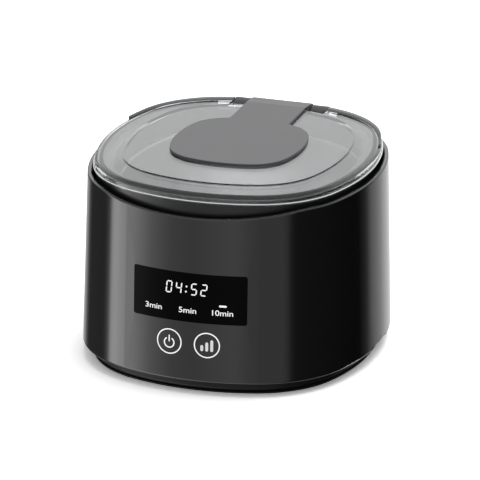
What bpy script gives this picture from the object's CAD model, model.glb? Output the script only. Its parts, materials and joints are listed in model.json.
"""Looks of an ultrasonic denture cleaner, built around its packed construction.

The pieces of the construction keep their shapes and get their finishes here. The lit digits, the
presets, the key marks, the lid's seat rail and bead, the hinge caps and the rim under the base are
modelled here. Units are metres, +Z is up and the front with the display faces -Y.
"""

import json
import logging
import math
from dataclasses import dataclass, field
from enum import Enum

import bmesh
import bpy
from mathutils import Euler, Matrix, Vector


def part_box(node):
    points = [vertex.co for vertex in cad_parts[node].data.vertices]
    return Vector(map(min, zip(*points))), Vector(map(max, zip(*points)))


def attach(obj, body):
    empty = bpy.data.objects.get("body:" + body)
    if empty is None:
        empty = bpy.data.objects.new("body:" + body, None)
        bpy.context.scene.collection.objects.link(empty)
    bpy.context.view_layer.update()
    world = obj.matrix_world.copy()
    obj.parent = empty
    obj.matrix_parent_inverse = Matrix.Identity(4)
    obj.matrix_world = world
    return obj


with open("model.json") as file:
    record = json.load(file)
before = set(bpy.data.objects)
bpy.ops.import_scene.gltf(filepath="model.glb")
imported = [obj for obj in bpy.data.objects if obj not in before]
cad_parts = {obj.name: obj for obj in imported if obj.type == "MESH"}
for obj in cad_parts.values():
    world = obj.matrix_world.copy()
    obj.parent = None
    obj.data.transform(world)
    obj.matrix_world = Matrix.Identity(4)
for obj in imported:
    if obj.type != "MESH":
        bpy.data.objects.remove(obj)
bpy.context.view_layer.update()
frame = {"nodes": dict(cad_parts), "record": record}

log = logging.getLogger("denture_cleaner")

MM = 0.001
PHOTO_SIZE = 480
HOUSING = "housing"
LID = "lid"
LID_HINGE = frame["record"]["behaviour"]["joints"][0]
MERGE_DISTANCE = 0.0005 * MM
LEAST_ROUGHNESS = 0.01


def linear(hex_colour: str) -> tuple[float, float, float, float]:
    """Turns an sRGB hex value into linear colour.

    Args:
        hex_colour: six hex digits, such as "1a1a1a".

    Returns:
        Linear red, green, blue and an alpha of 1.
    """
    channels = [int(hex_colour[start : start + 2], 16) / 255 for start in (0, 2, 4)]
    values = [c / 12.92 if c <= 0.04045 else ((c + 0.055) / 1.055) ** 2.4 for c in channels]
    return (*values, 1.0)


def add_node(
    tree: bpy.types.NodeTree, kind: str, inputs: dict | None = None, **settings: object
) -> bpy.types.Node:
    """Adds a node with its settings and its links.

    Args:
        tree: the node tree.
        kind: the node's type name.
        inputs: socket name or index to a value, or to the socket that feeds it.
        settings: attributes of the node.

    Returns:
        The new node.
    """
    node = tree.nodes.new(kind)
    for name, value in settings.items():
        setattr(node, name, value)
    for socket, value in (inputs or {}).items():
        if isinstance(value, bpy.types.NodeSocket):
            tree.links.new(value, node.inputs[socket])
        else:
            node.inputs[socket].default_value = value
    return node


def new_surface(name: str) -> tuple[bpy.types.Material, bpy.types.NodeTree, bpy.types.Node]:
    """Starts a material with a shader linked to its output.

    Args:
        name: the material's name.

    Returns:
        The material, its node tree and its shader node.
    """
    material = bpy.data.materials.new(name)
    material.use_nodes = True
    tree = material.node_tree
    tree.nodes.clear()
    shader = add_node(tree, "ShaderNodeBsdfPrincipled")
    add_node(tree, "ShaderNodeOutputMaterial", {"Surface": shader.outputs["BSDF"]})
    return material, tree, shader


def direct_view(tree: bpy.types.NodeTree) -> bpy.types.NodeSocket:
    """Picks out the rays by which the camera sees a place, straight or through clear plastic.

    Args:
        tree: the node tree.

    Returns:
        A socket that is 1 for such rays and 0 for all others.
    """
    ray = add_node(tree, "ShaderNodeLightPath")
    seen = add_node(
        tree, "ShaderNodeMath",
        {0: ray.outputs["Is Camera Ray"], 1: ray.outputs["Is Transmission Ray"]},
        operation="MAXIMUM",
    )
    return seen.outputs[0]


def grey(level: float) -> tuple[float, float, float, float]:
    """An even colour of that linear brightness."""
    return (level, level, level, 1.0)


def per_metre(size_mm: float) -> float:
    """Scale of a pattern on Object coordinates whose features are size_mm across."""
    return 1.0 / (size_mm * MM)


@dataclass(frozen=True)
class MouldedPlastic:
    """Opaque moulded plastic, and with its own grain also rubber, resin, foam or ceramic.

    A steel mould leaves a faint waviness on gloss faces and a fine spark-eroded grain on matt
    ones, and handling leaves the gloss a little uneven.
    """

    name: str
    colour: str
    roughness: float
    grain_mm: float
    grain_depth: float
    gloss_spread: float = 0.03
    shade_spread: float = 0.06
    specular: float = 0.5
    patch_mm: float = 35.0
    patch_span: tuple[float, float] = (0.2, 0.8)

    def build(self) -> bpy.types.Material:
        """Makes the material.

        Returns:
            The new material.
        """
        material, tree, shader = new_surface(self.name)
        place = add_node(tree, "ShaderNodeTexCoord").outputs["Object"]
        grain = add_node(
            tree, "ShaderNodeTexNoise",
            {"Vector": place, "Scale": per_metre(self.grain_mm), "Detail": 3.0, "Roughness": 0.6},
        )
        patches = add_node(
            tree, "ShaderNodeTexNoise",
            {"Vector": place, "Scale": per_metre(self.patch_mm), "Detail": 4.0},
        )
        low, high = self.patch_span
        gloss = add_node(
            tree, "ShaderNodeMapRange",
            {
                "Value": patches.outputs["Fac"], "From Min": low, "From Max": high,
                "To Min": max(self.roughness - self.gloss_spread, LEAST_ROUGHNESS),
                "To Max": self.roughness + self.gloss_spread,
            },
        )
        colour = linear(self.colour)
        pale = tuple(min(c * (1 + self.shade_spread), 1.0) for c in colour[:3]) + (1.0,)
        shade = add_node(
            tree, "ShaderNodeMix",
            {"Factor": patches.outputs["Fac"], 6: colour, 7: pale}, data_type="RGBA",
        )
        bump = add_node(
            tree, "ShaderNodeBump",
            {"Height": grain.outputs["Fac"], "Strength": 1.0, "Distance": self.grain_depth * MM},
        )
        tree.links.new(shade.outputs[2], shader.inputs["Base Color"])
        tree.links.new(gloss.outputs["Result"], shader.inputs["Roughness"])
        tree.links.new(bump.outputs["Normal"], shader.inputs["Normal"])
        shader.inputs["Specular IOR Level"].default_value = self.specular
        return material


@dataclass(frozen=True)
class ClearPlastic:
    """Clear styrene moulding: water-white, polished by the mould, with faint flow waviness."""

    name: str
    tint: str
    roughness: float
    wave_mm: float
    wave_depth: float
    ior: float = 1.52
    haze_span: tuple[float, float] = (0.4, 0.7)

    def build(self) -> bpy.types.Material:
        """Makes the material.

        Returns:
            The new material.
        """
        material, tree, shader = new_surface(self.name)
        place = add_node(tree, "ShaderNodeTexCoord").outputs["Object"]
        flow = add_node(
            tree, "ShaderNodeTexNoise",
            {"Vector": place, "Scale": per_metre(self.wave_mm), "Detail": 1.0},
        )
        low, high = self.haze_span
        haze = add_node(
            tree, "ShaderNodeMapRange",
            {
                "Value": flow.outputs["Fac"], "From Min": low, "From Max": high,
                "To Min": self.roughness, "To Max": self.roughness * 2,
            },
        )
        bump = add_node(
            tree, "ShaderNodeBump",
            {"Height": flow.outputs["Fac"], "Strength": 1.0, "Distance": self.wave_depth * MM},
        )
        tree.links.new(haze.outputs["Result"], shader.inputs["Roughness"])
        tree.links.new(bump.outputs["Normal"], shader.inputs["Normal"])
        shader.inputs["Base Color"].default_value = linear(self.tint)
        shader.inputs["Transmission Weight"].default_value = 1.0
        shader.inputs["IOR"].default_value = self.ior
        return material


@dataclass(frozen=True)
class DrawnMetal:
    """Bare metal with fine lines that run one way, left by polishing, drawing or a tool."""

    name: str
    colour: str
    roughness: float
    line_mm: float
    line_depth: float
    run: tuple[float, float, float] = (0.05, 1.0, 1.0)
    line_span: tuple[float, float] = (0.3, 0.7)
    gloss_shares: tuple[float, float] = (0.75, 1.3)

    def build(self) -> bpy.types.Material:
        """Makes the material.

        Returns:
            The new material.
        """
        material, tree, shader = new_surface(self.name)
        place = add_node(tree, "ShaderNodeTexCoord").outputs["Object"]
        stretched = add_node(
            tree, "ShaderNodeMapping", {"Vector": place, "Scale": self.run}
        ).outputs["Vector"]
        lines = add_node(
            tree, "ShaderNodeTexNoise",
            {"Vector": stretched, "Scale": per_metre(self.line_mm), "Detail": 4.0},
        )
        low, high = self.line_span
        sharp, dull = self.gloss_shares
        gloss = add_node(
            tree, "ShaderNodeMapRange",
            {
                "Value": lines.outputs["Fac"], "From Min": low, "From Max": high,
                "To Min": self.roughness * sharp, "To Max": self.roughness * dull,
            },
        )
        bump = add_node(
            tree, "ShaderNodeBump",
            {"Height": lines.outputs["Fac"], "Strength": 1.0, "Distance": self.line_depth * MM},
        )
        tree.links.new(gloss.outputs["Result"], shader.inputs["Roughness"])
        tree.links.new(bump.outputs["Normal"], shader.inputs["Normal"])
        shader.inputs["Base Color"].default_value = linear(self.colour)
        shader.inputs["Metallic"].default_value = 1.0
        return material


@dataclass(frozen=True)
class LitMark:
    """White light shining through a thin clear film, or white ink with a little light in it."""

    name: str
    colour: str
    glow: float
    roughness: float = 0.4
    gloss_spread: float = 0.1
    grain_mm: float = 0.3

    def build(self) -> bpy.types.Material:
        """Makes the material.

        Returns:
            The new material.
        """
        material, tree, shader = new_surface(self.name)
        place = add_node(tree, "ShaderNodeTexCoord").outputs["Object"]
        grain = add_node(
            tree, "ShaderNodeTexNoise",
            {"Vector": place, "Scale": per_metre(self.grain_mm), "Detail": 2.0},
        )
        gloss = add_node(
            tree, "ShaderNodeMapRange",
            {
                "Value": grain.outputs["Fac"],
                "To Min": self.roughness - self.gloss_spread,
                "To Max": self.roughness + self.gloss_spread,
            },
        )
        tree.links.new(gloss.outputs["Result"], shader.inputs["Roughness"])
        shader.inputs["Base Color"].default_value = linear(self.colour)
        shader.inputs["Emission Color"].default_value = linear(self.colour)
        shader.inputs["Emission Strength"].default_value = self.glow
        return material


@dataclass(frozen=True)
class CircuitBoard:
    """Glass-epoxy board under green solder mask, with copper tracks that show a shade lighter."""

    name: str
    mask: str
    track: str
    pitch_mm: float
    copper_mm: float = 0.035
    track_edge: tuple[float, float] = (0.48, 0.52)
    roughness: float = 0.28

    def build(self) -> bpy.types.Material:
        """Makes the material.

        Returns:
            The new material.
        """
        material, tree, shader = new_surface(self.name)
        place = add_node(tree, "ShaderNodeTexCoord").outputs["Object"]
        cells = add_node(
            tree, "ShaderNodeTexVoronoi",
            {"Vector": place, "Scale": per_metre(self.pitch_mm), "Randomness": 0.6},
            distance="MANHATTAN", feature="F1",
        )
        low, high = self.track_edge
        tracks = add_node(
            tree, "ShaderNodeMapRange",
            {"Value": cells.outputs["Distance"], "From Min": low, "From Max": high},
        )
        shade = add_node(
            tree, "ShaderNodeMix",
            {"Factor": tracks.outputs["Result"], 6: linear(self.mask), 7: linear(self.track)},
            data_type="RGBA",
        )
        bump = add_node(
            tree, "ShaderNodeBump",
            {"Height": tracks.outputs["Result"], "Distance": self.copper_mm * MM},
        )
        tree.links.new(shade.outputs[2], shader.inputs["Base Color"])
        tree.links.new(bump.outputs["Normal"], shader.inputs["Normal"])
        shader.inputs["Roughness"].default_value = self.roughness
        return material


@dataclass(frozen=True)
class WoundWire:
    """Wire or tape laid turn by turn, or wires side by side: each one shows as a fine ridge."""

    name: str
    colour: str
    wire_mm: float
    metallic: float
    roughness: float
    valley_share: float = 0.55

    def build(self) -> bpy.types.Material:
        """Makes the material.

        Returns:
            The new material.
        """
        material, tree, shader = new_surface(self.name)
        place = add_node(tree, "ShaderNodeTexCoord").outputs["Object"]
        turns = add_node(
            tree, "ShaderNodeTexWave",
            {"Vector": place, "Scale": per_metre(self.wire_mm) / math.tau, "Distortion": 0.4},
            bands_direction="Z",
        )
        bump = add_node(
            tree, "ShaderNodeBump",
            {"Height": turns.outputs["Fac"], "Distance": self.wire_mm * MM / 2},
        )
        dark = tuple(c * self.valley_share for c in linear(self.colour)[:3]) + (1.0,)
        shade = add_node(
            tree, "ShaderNodeMix",
            {"Factor": turns.outputs["Fac"], 6: dark, 7: linear(self.colour)}, data_type="RGBA",
        )
        tree.links.new(shade.outputs[2], shader.inputs["Base Color"])
        tree.links.new(bump.outputs["Normal"], shader.inputs["Normal"])
        shader.inputs["Metallic"].default_value = self.metallic
        shader.inputs["Roughness"].default_value = self.roughness
        return material


class Finish(Enum):
    """Every finish on the cleaner, by the record's slot that it dresses."""

    # Black gloss ABS: near black, so its look is the reflection of the room
    HOUSING_BLACK = (
        "housing_black", MouldedPlastic("gloss_black_abs", "080809", 0.1, 2.2, 0.0012, 0.02),
    )
    # Dark grey ABS with a fine matt grain, so that it doesn't mirror the lid
    COLLAR_GREY = (
        "collar_grey", MouldedPlastic("matt_grey_abs", "131314", 0.3, 0.35, 0.003, specular=0.32),
    )
    # Black ABS with a coarse spark-eroded grain: it stays dark under the housing
    BASE_BLACK = (
        "base_black", MouldedPlastic("matt_black_abs", "0a0a0b", 0.5, 0.5, 0.02, specular=0.18),
    )
    # Satin stainless, drawn deep and polished: soft reflections, a little drawn out
    TANK_STEEL = ("tank_steel", DrawnMetal("satin_stainless", "bababb", 0.2, 0.5, 0.0004))
    # Uncoloured nylon: a milky ivory with a dull moulded skin
    CLAMP_NYLON = ("clamp_nylon", MouldedPlastic("natural_nylon", "cfccc0", 0.45, 0.8, 0.01))
    # Grey silicone: soft and matt, with no clear highlight
    GASKET = ("gasket_silicone", MouldedPlastic("grey_silicone", "9a9a96", 0.6, 0.6, 0.01))
    # Black rubber: matt and rough, so it shows as a dark line
    FOOT_RUBBER = (
        "foot_rubber", MouldedPlastic("black_rubber", "0e0e0e", 0.75, 0.5, 0.03, specular=0.15),
    )
    # Bright zinc on cold-formed steel: pale and softly bright, with fine lines
    SCREW_STEEL = ("screw_steel", DrawnMetal("zinc_plated_steel", "b9bbbd", 0.3, 0.2, 0.002))
    # Ground stainless rod: nearly a mirror
    PIN_STEEL = ("pin_steel", DrawnMetal("ground_stainless", "d6d6d6", 0.16, 0.15, 0.001))
    # Cured epoxy: brown, and glossy where it set against air
    BOND_RESIN = ("bond_resin", MouldedPlastic("cured_epoxy", "5a5040", 0.35, 1.0, 0.01))
    # Fired ceramic: a chalky cream with a fine grain
    CERAMIC = ("transducer_ceramic", MouldedPlastic("fired_ceramic", "c9c2ae", 0.55, 0.25, 0.01))
    # Smoked acrylic coated against glare: it mirrors hardly anything, so only the digits show
    LENS_BLACK = (
        "lens_black",
        MouldedPlastic("smoked_acrylic", "010101", 0.08, 3.0, 0.0005, 0.01, specular=0.035),
    )
    # Black filler round the digit display: flat and dull
    MODULE_BLACK = ("module_black", MouldedPlastic("black_filler", "0c0c0d", 0.5, 0.4, 0.01))
    # Conductive foam: dark, open-celled and without gloss
    PAD_FOAM = ("pad_foam", MouldedPlastic("conductive_foam", "2b2b2c", 0.9, 0.7, 0.15))
    # Green solder mask over copper: a clean gloss with paler tracks
    BOARD_GREEN = ("board_green", CircuitBoard("green_circuit_board", "0d4a2a", "1b6a3d", 3.2))
    # Moulded epoxy of a chip's body: charcoal with a fine matt grain
    COMPONENT_BLACK = (
        "component_black", MouldedPlastic("moulded_epoxy", "151516", 0.5, 0.3, 0.01),
    )
    # Pressed and sintered ferrite: dark grey and slightly rough
    FERRITE = ("ferrite_grey", MouldedPlastic("sintered_ferrite", "3b3b3d", 0.55, 0.4, 0.02))
    # Polyester tape over the winding: yellow, with the step of each lap
    TAPE_YELLOW = ("tape_yellow", WoundWire("polyester_tape", "d8a91d", 2.4, 0.0, 0.3))
    # Enamelled copper: red-brown metal with a ridge for each turn
    COIL_COPPER = ("coil_copper", WoundWire("enamelled_copper", "b4541c", 0.8, 0.9, 0.25))
    # Shrink sleeve on a can: dark blue and glossy, since it follows the smooth can
    CAN_SLEEVE = ("can_sleeve", MouldedPlastic("shrink_sleeve", "242a3c", 0.25, 1.2, 0.004))
    # Extruded aluminium: pale, with die lines along it
    SINK_ALUMINIUM = (
        "sink_aluminium", DrawnMetal("extruded_aluminium", "c4c6c8", 0.35, 0.4, 0.004),
    )
    # White nylon of the board plugs: slightly warm, with a dull moulded skin
    PLUG_WHITE = ("plug_white", MouldedPlastic("white_nylon", "e8e5da", 0.4, 0.6, 0.006))
    # Ribbon insulation: grey, with a ridge for each wire
    RIBBON_GREY = ("ribbon_grey", WoundWire("ribbon_insulation", "8c8d92", 1.2, 0.0, 0.5))
    # Red silicone insulation: deep red and dull
    LEAD_RED = ("lead_red", MouldedPlastic("red_silicone", "a01310", 0.5, 0.4, 0.004))
    # Water-white styrene, polished on both faces
    LID_CLEAR = ("lid_clear", ClearPlastic("clear_styrene", "f0f4f5", 0.012, 14.0, 0.002))
    # Mid-grey ABS with a satin face: nearly the same grey from every side
    PLATE_GREY = (
        "plate_grey", MouldedPlastic("satin_grey_abs", "5e5e60", 0.3, 0.6, 0.0015, specular=0.1),
    )
    # The same plastic as the plate, a shade paler because light comes through its thin edge
    TRIM_GREY = (
        "plate_grey", MouldedPlastic("satin_trim_abs", "707072", 0.3, 0.6, 0.0015, specular=0.1),
    )
    # The lid's styrene where its edge is satin: light from all round leaves it white
    LIP_SATIN = ("plug_white", MouldedPlastic("satin_styrene", "f4f6f6", 0.4, 0.5, 0.004))
    # Light behind the lens: the segments are the brightest things on the cleaner
    DIGIT_WHITE = ("plug_white", LitMark("lit_segments", "b0b0b0", 1.6))
    # White ink with some light behind it, so that the keys read in a dim room
    PRINT_WHITE = ("plug_white", LitMark("white_screen_print", "f0f0f0", 0.55))
    # The same ink in a thinner coat: a shade greyer
    PRINT_GREY = ("plug_white", LitMark("grey_screen_print", "d8d8d8", 0.38))

    def __init__(self, slot: str, recipe: object) -> None:
        """Keeps the record's slot and the recipe of the material."""
        self.slot = slot
        self.recipe = recipe

    def material(self) -> bpy.types.Material:
        """The finish's material, made the first time that it is asked for."""
        found = bpy.data.materials.get(self.recipe.name)
        return found or self.recipe.build()


# Where finishes share a slot, a piece of the construction gets the first of them
SLOT_FINISH = {finish.slot: finish for finish in reversed(Finish)}
NODE_FINISH = {"lid_rear_trim": Finish.TRIM_GREY}


def dress_nodes() -> None:
    """Gives every piece of the construction the finish of its slot in the record."""
    for part in frame["record"]["subparts"]:
        piece = frame["nodes"][part["node"]]
        finish = NODE_FINISH.get(part["node"], SLOT_FINISH[part["material_slot"]])
        for place in piece.material_slots:
            place.material = finish.material()
        log.info("%s dressed in %s", piece.name, finish.recipe.name)


def finish_piece(
    name: str, mesh: bmesh.types.BMesh, finish: Finish, body: str
) -> bpy.types.Object:
    """Turns a finished bmesh into a piece that rides on a body.

    Args:
        name: the piece's name.
        mesh: its mesh in the row's frame; it is freed here.
        finish: its finish.
        body: the body that it moves with.

    Returns:
        The new object.
    """
    bmesh.ops.remove_doubles(mesh, verts=mesh.verts, dist=MERGE_DISTANCE)
    bmesh.ops.recalc_face_normals(mesh, faces=mesh.faces)
    data = bpy.data.meshes.new(name)
    mesh.to_mesh(data)
    mesh.free()
    data.materials.append(finish.material())
    piece = bpy.data.objects.new(name, data)
    bpy.context.scene.collection.objects.link(piece)
    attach(piece, body)
    log.info("%s has %d faces", name, len(data.polygons))
    return piece


@dataclass
class HousingOutline:
    """The housing's outline from above: bowed sides and ends joined by tangent corners."""

    half_width: float = 60.0 * MM
    half_depth: float = 64.6 * MM
    side_radius: float = 100.0 * MM
    end_radius: float = 85.0 * MM
    corner_radius: float = 42.5 * MM
    step: float = math.radians(3.0)

    def arcs(self) -> list[tuple[Vector, float]]:
        """The outline's arcs, anticlockwise from the middle of the back.

        Returns:
            Each arc's centre and the angle that it covers.
        """
        side_x = self.half_width - self.side_radius
        end_y = self.half_depth - self.end_radius
        span = math.hypot(side_x, end_y)
        side_reach = self.side_radius - self.corner_radius
        end_reach = self.end_radius - self.corner_radius
        along = (side_reach**2 - end_reach**2 + span**2) / (2 * span)
        across = math.sqrt(side_reach**2 - along**2)
        turn_x = side_x - (along * side_x + across * end_y) / span
        turn_y = (along * end_y - across * side_x) / span
        side_angle = math.atan2(turn_y, turn_x - side_x)
        end_angle = math.atan2(turn_y - end_y, turn_x)
        turn = end_angle - side_angle
        half_end = math.pi / 2 - end_angle
        return [
            (Vector((0, end_y, 0)), half_end),
            (Vector((-turn_x, turn_y, 0)), turn),
            (Vector((-side_x, 0, 0)), 2 * side_angle),
            (Vector((-turn_x, -turn_y, 0)), turn),
            (Vector((0, -end_y, 0)), 2 * half_end),
            (Vector((turn_x, -turn_y, 0)), turn),
            (Vector((side_x, 0, 0)), 2 * side_angle),
            (Vector((turn_x, turn_y, 0)), turn),
            (Vector((0, end_y, 0)), half_end),
        ]

    def sweep(
        self, mesh: bmesh.types.BMesh, profile: tuple[tuple[float, float], ...], gap: float = 0.0
    ) -> None:
        """Sweeps a closed profile round the outline.

        Args:
            mesh: the mesh that gets the ring.
            profile: each corner's distance inside the outline, and its height.
            gap: half the width of the opening left at the back, or 0 for a closed ring.
        """
        arcs = self.arcs()
        open_angle = math.asin(gap / (self.end_radius - profile[0][0]))
        heading = Vector((-math.sin(open_angle), math.cos(open_angle), 0))
        verts = []
        for inset, height in profile:
            point = arcs[0][0] + heading * (self.end_radius - inset)
            verts.append(mesh.verts.new(point + Vector((0, 0, height))))
        if gap:
            face = mesh.faces.new(verts)
            geometry = [*verts, *face.edges, face]
        else:
            geometry = verts + [mesh.edges.new(pair) for pair in zip(verts, verts[1:] + verts[:1])]
        for index, (centre, angle) in enumerate(arcs):
            turn = angle - open_angle if index in (0, len(arcs) - 1) else angle
            turned = bmesh.ops.spin(
                mesh, geom=geometry, cent=centre, axis=(0, 0, 1), dvec=(0, 0, 0), angle=turn,
                steps=math.ceil(turn / self.step), use_merge=False, use_duplicate=False,
            )
            geometry = turned["geom_last"]


@dataclass
class LidSeat:
    """Low black rail on the collar, just inside the lid's edge and open at the hinge."""

    outline: HousingOutline
    outer_inset: float = 5.1 * MM
    inner_inset: float = 6.5 * MM
    bottom: float = 80.5 * MM
    top: float = 83.3 * MM
    edge: float = 0.25 * MM
    gap: float = 27.0 * MM

    def build(self) -> bpy.types.Object:
        """Makes the rail.

        Returns:
            The rail, which stays with the housing.
        """
        mesh = bmesh.new()
        outer, inner, edge = self.outer_inset, self.inner_inset, self.edge
        profile = (
            (outer, self.bottom), (outer, self.top - edge), (outer + edge, self.top),
            (inner - edge, self.top), (inner, self.top - edge), (inner, self.bottom),
        )
        self.outline.sweep(mesh, profile, self.gap)
        return finish_piece("lid_seat_rail", mesh, Finish.FOOT_RUBBER, HOUSING)


@dataclass
class LidLip:
    """Fine bead along the lid's lower edge, which the mould leaves satin, so it shows white."""

    outline: HousingOutline
    outer_inset: float = 2.35 * MM
    inner_inset: float = 2.72 * MM
    bottom: float = 81.3 * MM
    top: float = 81.65 * MM
    edge: float = 0.1 * MM
    gap: float = 22.0 * MM

    def build(self) -> bpy.types.Object:
        """Makes the bead.

        Returns:
            The bead, which moves with the lid.
        """
        mesh = bmesh.new()
        outer, inner, edge = self.outer_inset, self.inner_inset, self.edge
        profile = (
            (outer, self.bottom + edge), (outer, self.top - edge), (outer + edge, self.top),
            (inner, self.top), (inner, self.bottom), (outer + edge, self.bottom),
        )
        self.outline.sweep(mesh, profile, self.gap)
        return finish_piece("lid_lip", mesh, Finish.LIP_SATIN, LID)


@dataclass
class BaseRim:
    """Thin soft rim under the base plate's edge, down to just above the table."""

    outline: HousingOutline
    outer_inset: float = 2.9 * MM
    inner_inset: float = 4.4 * MM
    bottom: float = 0.08 * MM
    top: float = 0.78 * MM
    edge: float = 0.15 * MM

    def build(self) -> bpy.types.Object:
        """Makes the rim.

        Returns:
            The rim, which stays with the housing.
        """
        mesh = bmesh.new()
        outer, inner, edge = self.outer_inset, self.inner_inset, self.edge
        profile = (
            (outer, self.bottom + edge), (outer, self.top), (inner, self.top),
            (inner, self.bottom + edge), (inner - edge, self.bottom), (outer + edge, self.bottom),
        )
        self.outline.sweep(mesh, profile)
        return finish_piece("base_rim", mesh, Finish.FOOT_RUBBER, HOUSING)


@dataclass
class HingeCaps:
    """Rounded cap over each of the collar's hinge lugs, level with the trim beside it."""

    pin: Vector = field(default_factory=lambda: Vector(LID_HINGE["pos_m"]))
    bottom: float = 80.6 * MM
    inner_radius: float = 2.6 * MM
    outer_radius: float = 3.5 * MM
    near_end: float = 13.4 * MM
    far_end: float = 20.4 * MM
    edge: float = 0.2 * MM
    steps: int = 16

    def build(self) -> bpy.types.Object:
        """Makes both caps.

        Returns:
            The caps as one piece, which stays with the housing.
        """
        mesh = bmesh.new()
        rise = Vector((0, 0, self.pin.z - self.bottom))
        moves = ((rise, 0.0, 1), (Vector(), math.pi, self.steps), (-rise, 0.0, 1))
        near, far, edge = self.near_end, self.far_end, self.edge
        inner, outer = self.inner_radius, self.outer_radius
        profile = (
            (near, inner), (far, inner), (far, outer - edge), (far - edge, outer),
            (near + edge, outer), (near, outer - edge),
        )
        for side in (-1, 1):
            corners = [Vector((side * across, radius, 0)) for across, radius in profile]
            verts = [mesh.verts.new(self.pin - rise + corner) for corner in corners]
            face = mesh.faces.new(verts)
            geometry = [*verts, *face.edges, face]
            for lift, angle, steps in moves:
                turned = bmesh.ops.spin(
                    mesh, geom=geometry, cent=self.pin, axis=(1, 0, 0), dvec=lift, angle=angle,
                    steps=steps, use_merge=False, use_duplicate=False,
                )
                geometry = turned["geom_last"]
        return finish_piece("hinge_caps", mesh, Finish.PLATE_GREY, HOUSING)


def thicken(mesh: bmesh.types.BMesh, height: float) -> None:
    """Gives a flat mark its film thickness.

    Args:
        mesh: the mark.
        height: the film's thickness.
    """
    bmesh.ops.recalc_face_normals(mesh, faces=mesh.faces)
    result = bmesh.ops.extrude_face_region(mesh, geom=list(mesh.faces))
    raised = [item for item in result["geom"] if isinstance(item, bmesh.types.BMVert)]
    bmesh.ops.translate(mesh, verts=raised, vec=(0, 0, height))


@dataclass
class FrontWall:
    """The drafted, bowed front wall that the display and the keys follow."""

    bow_radius: float = 85.0 * MM
    draft: float = math.radians(1.49)
    top_z: float = 79.0 * MM
    bottom_reach: float = field(default_factory=lambda: -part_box("outer_shell")[0].y)
    bottom_z: float = field(default_factory=lambda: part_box("outer_shell")[0].z)
    skirt_round: float = 0.9 * MM

    def depth(self, x: float, z: float, below: float = 0.0) -> float:
        """The wall's y at a place.

        Args:
            x: distance to the right of the middle.
            z: height.
            below: how far under the outer face.

        Returns:
            The y of that point.
        """
        reach = self.bottom_reach + (self.bottom_z + self.skirt_round - z) * math.tan(self.draft)
        radius = self.bow_radius + (self.top_z - z) * math.tan(self.draft)
        return -(reach - radius + math.sqrt((radius - below) ** 2 - x**2))

    def lay(
        self, name: str, mesh: bmesh.types.BMesh, finish: Finish, film: float, below: float = 0.0
    ) -> bpy.types.Object:
        """Lays a flat mark on the wall: its x and y become x and z, and its film stands proud.

        Args:
            name: the mark's name.
            mesh: the mark, drawn flat in the XY plane.
            finish: its finish.
            film: its thickness.
            below: how far under the outer face it lies.

        Returns:
            The mark as a piece, which stays with the housing.
        """
        thicken(mesh, film)
        for vert in mesh.verts:
            across, up, proud = vert.co
            vert.co = (across, self.depth(across, up, below - proud), up)
        return finish_piece(name, mesh, finish, HOUSING)


def bar(mesh: bmesh.types.BMesh, start: Vector, end: Vector, width: float, tip: float) -> None:
    """Adds a flat bar with tapered ends to a mark.

    Args:
        mesh: the mark.
        start: the middle of its first end.
        end: the middle of its last end.
        width: its width.
        tip: length of the taper at each end.
    """
    along = (end - start).normalized()
    side = Vector((-along.y, along.x, 0)) * width / 2
    inner_start, inner_end = start + along * tip, end - along * tip
    lower = [start, inner_start - side, inner_end - side]
    upper = [end, inner_end + side, inner_start + side]
    mesh.faces.new([mesh.verts.new(point) for point in lower + upper])


def rounded_bar(
    mesh: bmesh.types.BMesh, start: Vector, end: Vector, width: float, steps: int = 8
) -> None:
    """Adds a flat bar with round ends to a mark.

    Args:
        mesh: the mark.
        start: centre of the first round end.
        end: centre of the last round end.
        width: its width.
        steps: edges in each half circle.
    """
    along = (end - start).normalized()
    side = Vector((-along.y, along.x, 0))
    outline = []
    for centre, turn in ((end, 0.0), (start, math.pi)):
        for step in range(steps + 1):
            angle = turn - math.pi / 2 + math.pi * step / steps
            outline.append(centre + (along * math.cos(angle) + side * math.sin(angle)) * width / 2)
    mesh.faces.new([mesh.verts.new(point) for point in outline])


def arc_band(
    mesh: bmesh.types.BMesh, centre: Vector, radius: float, width: float,
    first: float, sweep: float, steps: int,
) -> None:
    """Adds a flat band along an arc to a mark.

    Args:
        mesh: the mark.
        centre: centre of the arc.
        radius: radius of the band's middle line.
        width: its width.
        first: start angle, in radians from +X.
        sweep: angle that it covers, in radians.
        steps: faces along it.
    """
    heading = Vector((math.cos(first), math.sin(first), 0))
    inner = mesh.verts.new(centre + heading * (radius - width / 2))
    outer = mesh.verts.new(centre + heading * (radius + width / 2))
    edge = mesh.edges.new((inner, outer))
    bmesh.ops.spin(
        mesh, geom=[inner, outer, edge], cent=centre, axis=(0, 0, 1), dvec=(0, 0, 0),
        angle=sweep, steps=steps, use_merge=math.isclose(sweep, math.tau), use_duplicate=False,
    )


class Segment(Enum):
    """The seven bars of a digit, by their ends as shares of its width and height."""

    TOP = ((0, 1), (1, 1))
    TOP_RIGHT = ((1, 1), (1, 0.5))
    BOTTOM_RIGHT = ((1, 0.5), (1, 0))
    BOTTOM = ((0, 0), (1, 0))
    BOTTOM_LEFT = ((0, 0), (0, 0.5))
    TOP_LEFT = ((0, 0.5), (0, 1))
    MIDDLE = ((0, 0.5), (1, 0.5))


DIGIT_SEGMENTS = {
    "0": (
        Segment.TOP, Segment.TOP_RIGHT, Segment.BOTTOM_RIGHT, Segment.BOTTOM,
        Segment.BOTTOM_LEFT, Segment.TOP_LEFT,
    ),
    "2": (Segment.TOP, Segment.TOP_RIGHT, Segment.MIDDLE, Segment.BOTTOM_LEFT, Segment.BOTTOM),
    "4": (Segment.TOP_LEFT, Segment.MIDDLE, Segment.TOP_RIGHT, Segment.BOTTOM_RIGHT),
    "5": (Segment.TOP, Segment.TOP_LEFT, Segment.MIDDLE, Segment.BOTTOM_RIGHT, Segment.BOTTOM),
}


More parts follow.
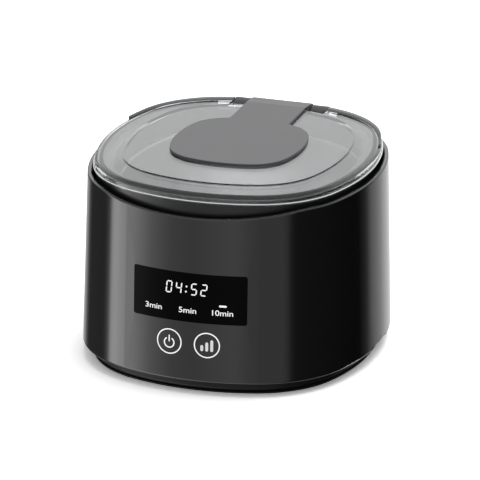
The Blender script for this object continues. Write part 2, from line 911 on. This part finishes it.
@dataclass
class Display:
    """Timer display: the lit digits, presets and bar on the face of the lens."""

    wall: FrontWall
    lens_recess: float = 0.15 * MM
    film: float = 0.04 * MM
    digit_width: float = 2.15 * MM
    digit_height: float = 4.65 * MM
    digit_base: float = 42.7 * MM
    digit_left: tuple[float, ...] = (-9.55 * MM, -5.35 * MM, 1.15 * MM, 5.3 * MM)
    digits: str = "0452"
    stroke: float = 0.5 * MM
    gap: float = 0.11 * MM
    slant: float = math.tan(math.radians(6.0))
    colon_x: float = -1.05 * MM
    colon_z: tuple[float, float] = (43.75 * MM, 45.95 * MM)
    colon_radius: float = 0.38 * MM
    colon_segments: int = 16
    label_height: float = 2.3 * MM
    label_base: float = 34.7 * MM
    labels: dict[str, tuple[float, float]] = field(
        default_factory=lambda: {
            "3min": (-15.05 * MM, 7.35 * MM),
            "5min": (-0.2 * MM, 7.4 * MM),
            "10min": (14.35 * MM, 8.45 * MM),
        }
    )
    # Both in the font's own units, where a line of text is about 1 high
    label_weight: float = 0.006
    label_merge: float = 1e-4
    bar_centre: tuple[float, float] = (14.45 * MM, 38.75 * MM)
    bar_length: float = 3.1 * MM
    bar_height: float = 0.8 * MM

    def lay(self, name: str, mesh: bmesh.types.BMesh) -> bpy.types.Object:
        """Lays a flat, lit mark on the lens."""
        return self.wall.lay(name, mesh, Finish.DIGIT_WHITE, self.film, self.lens_recess)

    def build_digits(self) -> bpy.types.Object:
        """Makes the lit digits and the colon between them.

        Returns:
            The digits and the colon as one piece.
        """
        mesh = bmesh.new()
        for digit, left in zip(self.digits, self.digit_left):
            for segment in DIGIT_SEGMENTS[digit]:
                start, end = (
                    Vector((left + across * self.digit_width, up * self.digit_height, 0))
                    for across, up in segment.value
                )
                along = (end - start).normalized() * self.gap
                bar(mesh, start + along, end - along, self.stroke, self.stroke / 2)
        for height in self.colon_z:
            dot = Vector((self.colon_x, height - self.digit_base, 0))
            bmesh.ops.create_circle(
                mesh, cap_ends=True, radius=self.colon_radius, segments=self.colon_segments,
                matrix=Matrix.Translation(dot),
            )
        for vert in mesh.verts:
            vert.co.x += vert.co.y * self.slant
            vert.co.y += self.digit_base
        return self.lay("timer_digits", mesh)

    def build_labels(self) -> None:
        """Makes the three preset labels, each fitted to its own width."""
        for text, (middle, width) in self.labels.items():
            curve = bpy.data.curves.new(f"label_{text}", "FONT")
            curve.body = text
            curve.offset = self.label_weight
            curve.fill_mode = "FRONT"
            source = bpy.data.objects.new(curve.name, curve)
            bpy.context.scene.collection.objects.link(source)
            bpy.context.view_layer.update()
            flat = bpy.data.meshes.new_from_object(source)
            bpy.data.objects.remove(source)
            mesh = bmesh.new()
            mesh.from_mesh(flat)
            bmesh.ops.remove_doubles(mesh, verts=mesh.verts, dist=self.label_merge)
            left = min(vert.co.x for vert in mesh.verts)
            right = max(vert.co.x for vert in mesh.verts)
            top = max(vert.co.y for vert in mesh.verts)
            for vert in mesh.verts:
                across = (vert.co.x - (left + right) / 2) / (right - left)
                up = self.label_base + vert.co.y / top * self.label_height
                vert.co = (middle + across * width, up, 0)
            self.lay(f"preset_label_{text}", mesh)

    def build_bar(self) -> bpy.types.Object:
        """Makes the lit bar over the chosen preset.

        Returns:
            The bar.
        """
        mesh = bmesh.new()
        middle = Vector((*self.bar_centre, 0))
        half = Vector(((self.bar_length - self.bar_height) / 2, 0, 0))
        rounded_bar(mesh, middle - half, middle + half, self.bar_height)
        return self.lay("preset_bar", mesh)

    def build(self) -> None:
        """Makes all the marks on the lens."""
        self.build_digits()
        self.build_labels()
        self.build_bar()


@dataclass
class TouchKeys:
    """The two touch keys: each a printed ring on the shell with its symbol."""

    wall: FrontWall
    centres: tuple[float, float] = (-7.86 * MM, 8.17 * MM)
    centre_z: float = 21.72 * MM
    ring_radius: float = 5.17 * MM
    ring_stroke: float = 0.47 * MM
    ring_steps: int = 96
    film: float = 0.03 * MM
    power_radius: float = 2.1 * MM
    power_steps: int = 48
    power_drop: float = 0.5 * MM
    power_gap: float = math.radians(62.0)
    power_stroke: float = 0.5 * MM
    power_stem: tuple[float, float] = (0.1 * MM, 2.5 * MM)
    level_heights: tuple[float, ...] = (2.6 * MM, 3.9 * MM, 5.0 * MM)
    level_width: float = 1.2 * MM
    level_pitch: float = 2.05 * MM
    level_base: float = -2.6 * MM

    def ring(self, mesh: bmesh.types.BMesh, centre: Vector) -> None:
        """Adds a key's ring."""
        arc_band(mesh, centre, self.ring_radius, self.ring_stroke, 0.0, math.tau, self.ring_steps)

    def build_power(self) -> bpy.types.Object:
        """Makes the power key: a broken ring with a stem in its gap.

        Returns:
            The key's mark.
        """
        mesh = bmesh.new()
        centre = Vector((self.centres[0], self.centre_z, 0))
        self.ring(mesh, centre)
        first = math.pi / 2 + self.power_gap / 2
        sweep = math.tau - self.power_gap
        hub = centre - Vector((0, self.power_drop, 0))
        arc_band(mesh, hub, self.power_radius, self.power_stroke, first, sweep, self.power_steps)
        low, high = (centre + Vector((0, reach, 0)) for reach in self.power_stem)
        rounded_bar(mesh, low, high, self.power_stroke)
        return self.wall.lay("power_key_mark", mesh, Finish.PRINT_WHITE, self.film)

    def build_level(self) -> bpy.types.Object:
        """Makes the level key: a ring round three bars that rise to the right.

        Returns:
            The three bars. The ring is a piece of its own.
        """
        centre = Vector((self.centres[1], self.centre_z, 0))
        mesh = bmesh.new()
        self.ring(mesh, centre)
        self.wall.lay("level_key_ring", mesh, Finish.PRINT_WHITE, self.film)
        mesh = bmesh.new()
        for index, height in enumerate(self.level_heights):
            across = (index - 1) * self.level_pitch
            low = self.level_base + self.level_width / 2
            high = self.level_base + height - self.level_width / 2
            rounded_bar(
                mesh, centre + Vector((across, low, 0)), centre + Vector((across, high, 0)),
                self.level_width,
            )
        return self.wall.lay("level_key_bars", mesh, Finish.PRINT_GREY, self.film)

    def build(self) -> None:
        """Makes both keys."""
        self.build_power()
        self.build_level()


@dataclass
class Studio:
    """White studio: floor, one soft box overhead, and panels that the gloss faces mirror."""

    # Azimuth in degrees from -Y towards +X, and brightness where gloss faces look there
    panels: tuple[tuple[float, float], ...] = (
        (-180.0, 1.03), (-166.0, 0.93), (-148.0, 0.76), (-136.0, 0.56), (-129.5, 0.23),
        (-122.0, 0.09), (-106.0, 0.145), (-94.0, 0.18), (-88.0, 0.23), (-82.0, 0.74),
        (-76.0, 4.2), (-70.0, 4.9), (-64.0, 4.45), (-50.0, 3.05), (-40.0, 1.7),
        (-28.0, 1.0), (-16.0, 0.86), (-4.0, 1.02), (8.0, 1.15), (20.0, 0.74),
        (47.0, 0.74), (52.0, 0.55), (57.0, 0.2), (62.0, 0.1), (92.0, 0.06),
        (138.0, 0.01), (146.0, 0.13), (152.0, 0.56), (164.0, 0.78), (171.0, 1.0),
    )
    panel_peak: float = 6.0
    # Upward part of a heading, 0 when level, where the panels end and where the zenith begins
    panel_end: tuple[float, float] = (0.1, 0.3)
    zenith_edge: tuple[float, float] = (0.6, 0.75)
    overhead: float = 1.53
    zenith: float = 0.9
    floor_size: float = 8.0
    floor_colour: str = "e6e6e6"
    floor_roughness: float = 0.9
    floor_lift: float = 0.08
    floor_gain: float = 0.95
    ambient: float = 0.55
    box_size: float = 1.4
    box_place: tuple[float, float, float] = (0.25, 0.4, 1.6)
    box_power: float = 16.0

    def build_world(self) -> None:
        """Makes the world: white to the camera, panels in the gloss, even light elsewhere."""
        world = bpy.data.worlds.new("studio")
        bpy.context.scene.world = world
        world.use_nodes = True
        tree = world.node_tree
        tree.nodes.clear()
        heading = add_node(tree, "ShaderNodeTexCoord").outputs["Generated"]
        axes = add_node(tree, "ShaderNodeSeparateXYZ", {"Vector": heading})
        backward = add_node(
            tree, "ShaderNodeMath", {0: axes.outputs["Y"], 1: -1.0}, operation="MULTIPLY"
        )
        azimuth = add_node(
            tree, "ShaderNodeMath", {0: axes.outputs["X"], 1: backward.outputs[0]},
            operation="ARCTAN2",
        )
        turn = add_node(
            tree, "ShaderNodeMapRange",
            {"Value": azimuth.outputs[0], "From Min": -math.pi, "From Max": math.pi},
        )
        ramp = add_node(tree, "ShaderNodeValToRGB", {"Fac": turn.outputs["Result"]})
        stops = ramp.color_ramp.elements
        while len(stops) < len(self.panels):
            stops.new(1.0)
        for stop, (angle, level) in zip(stops, self.panels):
            stop.position = (angle + 180.0) / 360.0
            stop.color = grey(level / self.panel_peak)
        panels = add_node(
            tree, "ShaderNodeMixRGB",
            {"Fac": 1.0, "Color1": ramp.outputs["Color"], "Color2": grey(self.panel_peak)},
            blend_type="MULTIPLY",
        )
        low, high = self.panel_end
        overhead = add_node(
            tree, "ShaderNodeMapRange",
            {"Value": axes.outputs["Z"], "From Min": low, "From Max": high},
        )
        low, high = self.zenith_edge
        high_up = add_node(
            tree, "ShaderNodeMapRange",
            {
                "Value": axes.outputs["Z"], "From Min": low, "From Max": high,
                "To Min": self.overhead, "To Max": self.zenith,
            },
        )
        mirrored = add_node(
            tree, "ShaderNodeMixRGB",
            {
                "Fac": overhead.outputs["Result"],
                "Color1": panels.outputs["Color"], "Color2": high_up.outputs["Result"],
            },
        )
        gloss_or_even = add_node(
            tree, "ShaderNodeMixRGB",
            {
                "Fac": add_node(tree, "ShaderNodeLightPath").outputs["Is Glossy Ray"],
                "Color1": grey(self.ambient), "Color2": mirrored.outputs["Color"],
            },
        )
        light = add_node(
            tree, "ShaderNodeMixRGB",
            {
                "Fac": direct_view(tree),
                "Color1": gloss_or_even.outputs["Color"], "Color2": grey(1.0),
            },
        )
        background = add_node(
            tree, "ShaderNodeBackground", {"Color": light.outputs["Color"], "Strength": 1.0}
        )
        add_node(tree, "ShaderNodeOutputWorld", {"Surface": background.outputs["Background"]})

    def build_floor(self) -> None:
        """Makes the pale floor, which keeps the shadow and stays out of the gloss."""
        mesh = bmesh.new()
        bmesh.ops.create_grid(mesh, x_segments=1, y_segments=1, size=self.floor_size / 2)
        data = bpy.data.meshes.new("studio_floor")
        mesh.to_mesh(data)
        mesh.free()
        floor = bpy.data.objects.new("studio_floor", data)
        bpy.context.scene.collection.objects.link(floor)
        material, tree, shader = new_surface("white_paper")
        seen = direct_view(tree)
        strength = add_node(
            tree, "ShaderNodeMath", {0: seen, 1: self.floor_lift}, operation="MULTIPLY"
        )
        lift = add_node(
            tree, "ShaderNodeEmission", {"Color": grey(1.0), "Strength": strength.outputs[0]}
        )
        gain = add_node(
            tree, "ShaderNodeMath", {0: seen, 1: self.floor_gain}, operation="MULTIPLY"
        )
        clean = add_node(tree, "ShaderNodeBsdfDiffuse", {"Color": gain.outputs[0]})
        paper = add_node(
            tree, "ShaderNodeAddShader", {0: shader.outputs["BSDF"], 1: clean.outputs["BSDF"]}
        )
        both = add_node(
            tree, "ShaderNodeAddShader", {0: paper.outputs["Shader"], 1: lift.outputs["Emission"]}
        )
        output = next(node for node in tree.nodes if node.type == "OUTPUT_MATERIAL")
        tree.links.new(both.outputs["Shader"], output.inputs["Surface"])
        shader.inputs["Base Color"].default_value = linear(self.floor_colour)
        shader.inputs["Roughness"].default_value = self.floor_roughness
        shader.inputs["Specular IOR Level"].default_value = 0.0
        data.materials.append(material)
        floor.visible_glossy = False

    def build_lamps(self) -> None:
        """Hangs the soft box."""
        lamp = bpy.data.lights.new("soft_box", "AREA")
        lamp.shape = "SQUARE"
        lamp.size = self.box_size
        lamp.energy = self.box_power
        holder = bpy.data.objects.new("soft_box", lamp)
        holder.location = self.box_place
        aim = -Vector(self.box_place)
        holder.rotation_euler = aim.to_track_quat("-Z", "Y").to_euler()
        holder.visible_glossy = False
        bpy.context.scene.collection.objects.link(holder)

    def build(self) -> None:
        """Sets up the whole studio."""
        self.build_world()
        self.build_floor()
        self.build_lamps()


@dataclass
class Viewpoint:
    """The camera, placed as the photograph was taken."""

    azimuth: float = math.radians(17.85)
    elevation: float = math.radians(19.71)
    distance: float = 2.505
    target: tuple[float, float, float] = (0.0, 0.0, 0.045)
    focal_px: float = 6064.0
    target_px: tuple[float, float] = (238.2, 237.3)
    roll: float = math.radians(0.45)
    sensor: float = 36.0
    clip_end: float = 50.0

    def build(self) -> None:
        """Makes the camera and sets it as the scene's."""
        lens = bpy.data.cameras.new("camera")
        lens.sensor_width = self.sensor
        lens.lens = self.sensor * self.focal_px / PHOTO_SIZE
        lens.shift_x = (PHOTO_SIZE / 2 - self.target_px[0]) / PHOTO_SIZE
        lens.shift_y = (self.target_px[1] - PHOTO_SIZE / 2) / PHOTO_SIZE
        lens.clip_end = self.clip_end
        camera = bpy.data.objects.new("camera", lens)
        away = Vector(
            (
                math.sin(self.azimuth) * math.cos(self.elevation),
                -math.cos(self.azimuth) * math.cos(self.elevation),
                math.sin(self.elevation),
            )
        )
        camera.location = Vector(self.target) + away * self.distance
        turn = (-away).to_track_quat("-Z", "Y").to_matrix()
        camera.rotation_euler = (turn @ Euler((0, 0, self.roll)).to_matrix()).to_euler()
        bpy.context.scene.collection.objects.link(camera)
        bpy.context.scene.camera = camera


def main() -> None:
    """Dresses the construction, then builds each class in order."""
    logging.basicConfig(level=logging.INFO, format="%(name)s: %(message)s")
    bpy.context.scene.view_settings.view_transform = "Standard"
    dress_nodes()
    outline = HousingOutline()
    LidSeat(outline).build()
    LidLip(outline).build()
    BaseRim(outline).build()
    HingeCaps().build()
    wall = FrontWall()
    Display(wall).build()
    TouchKeys(wall).build()
    Studio().build()
    Viewpoint().build()


if __name__ == "__main__":
    main()
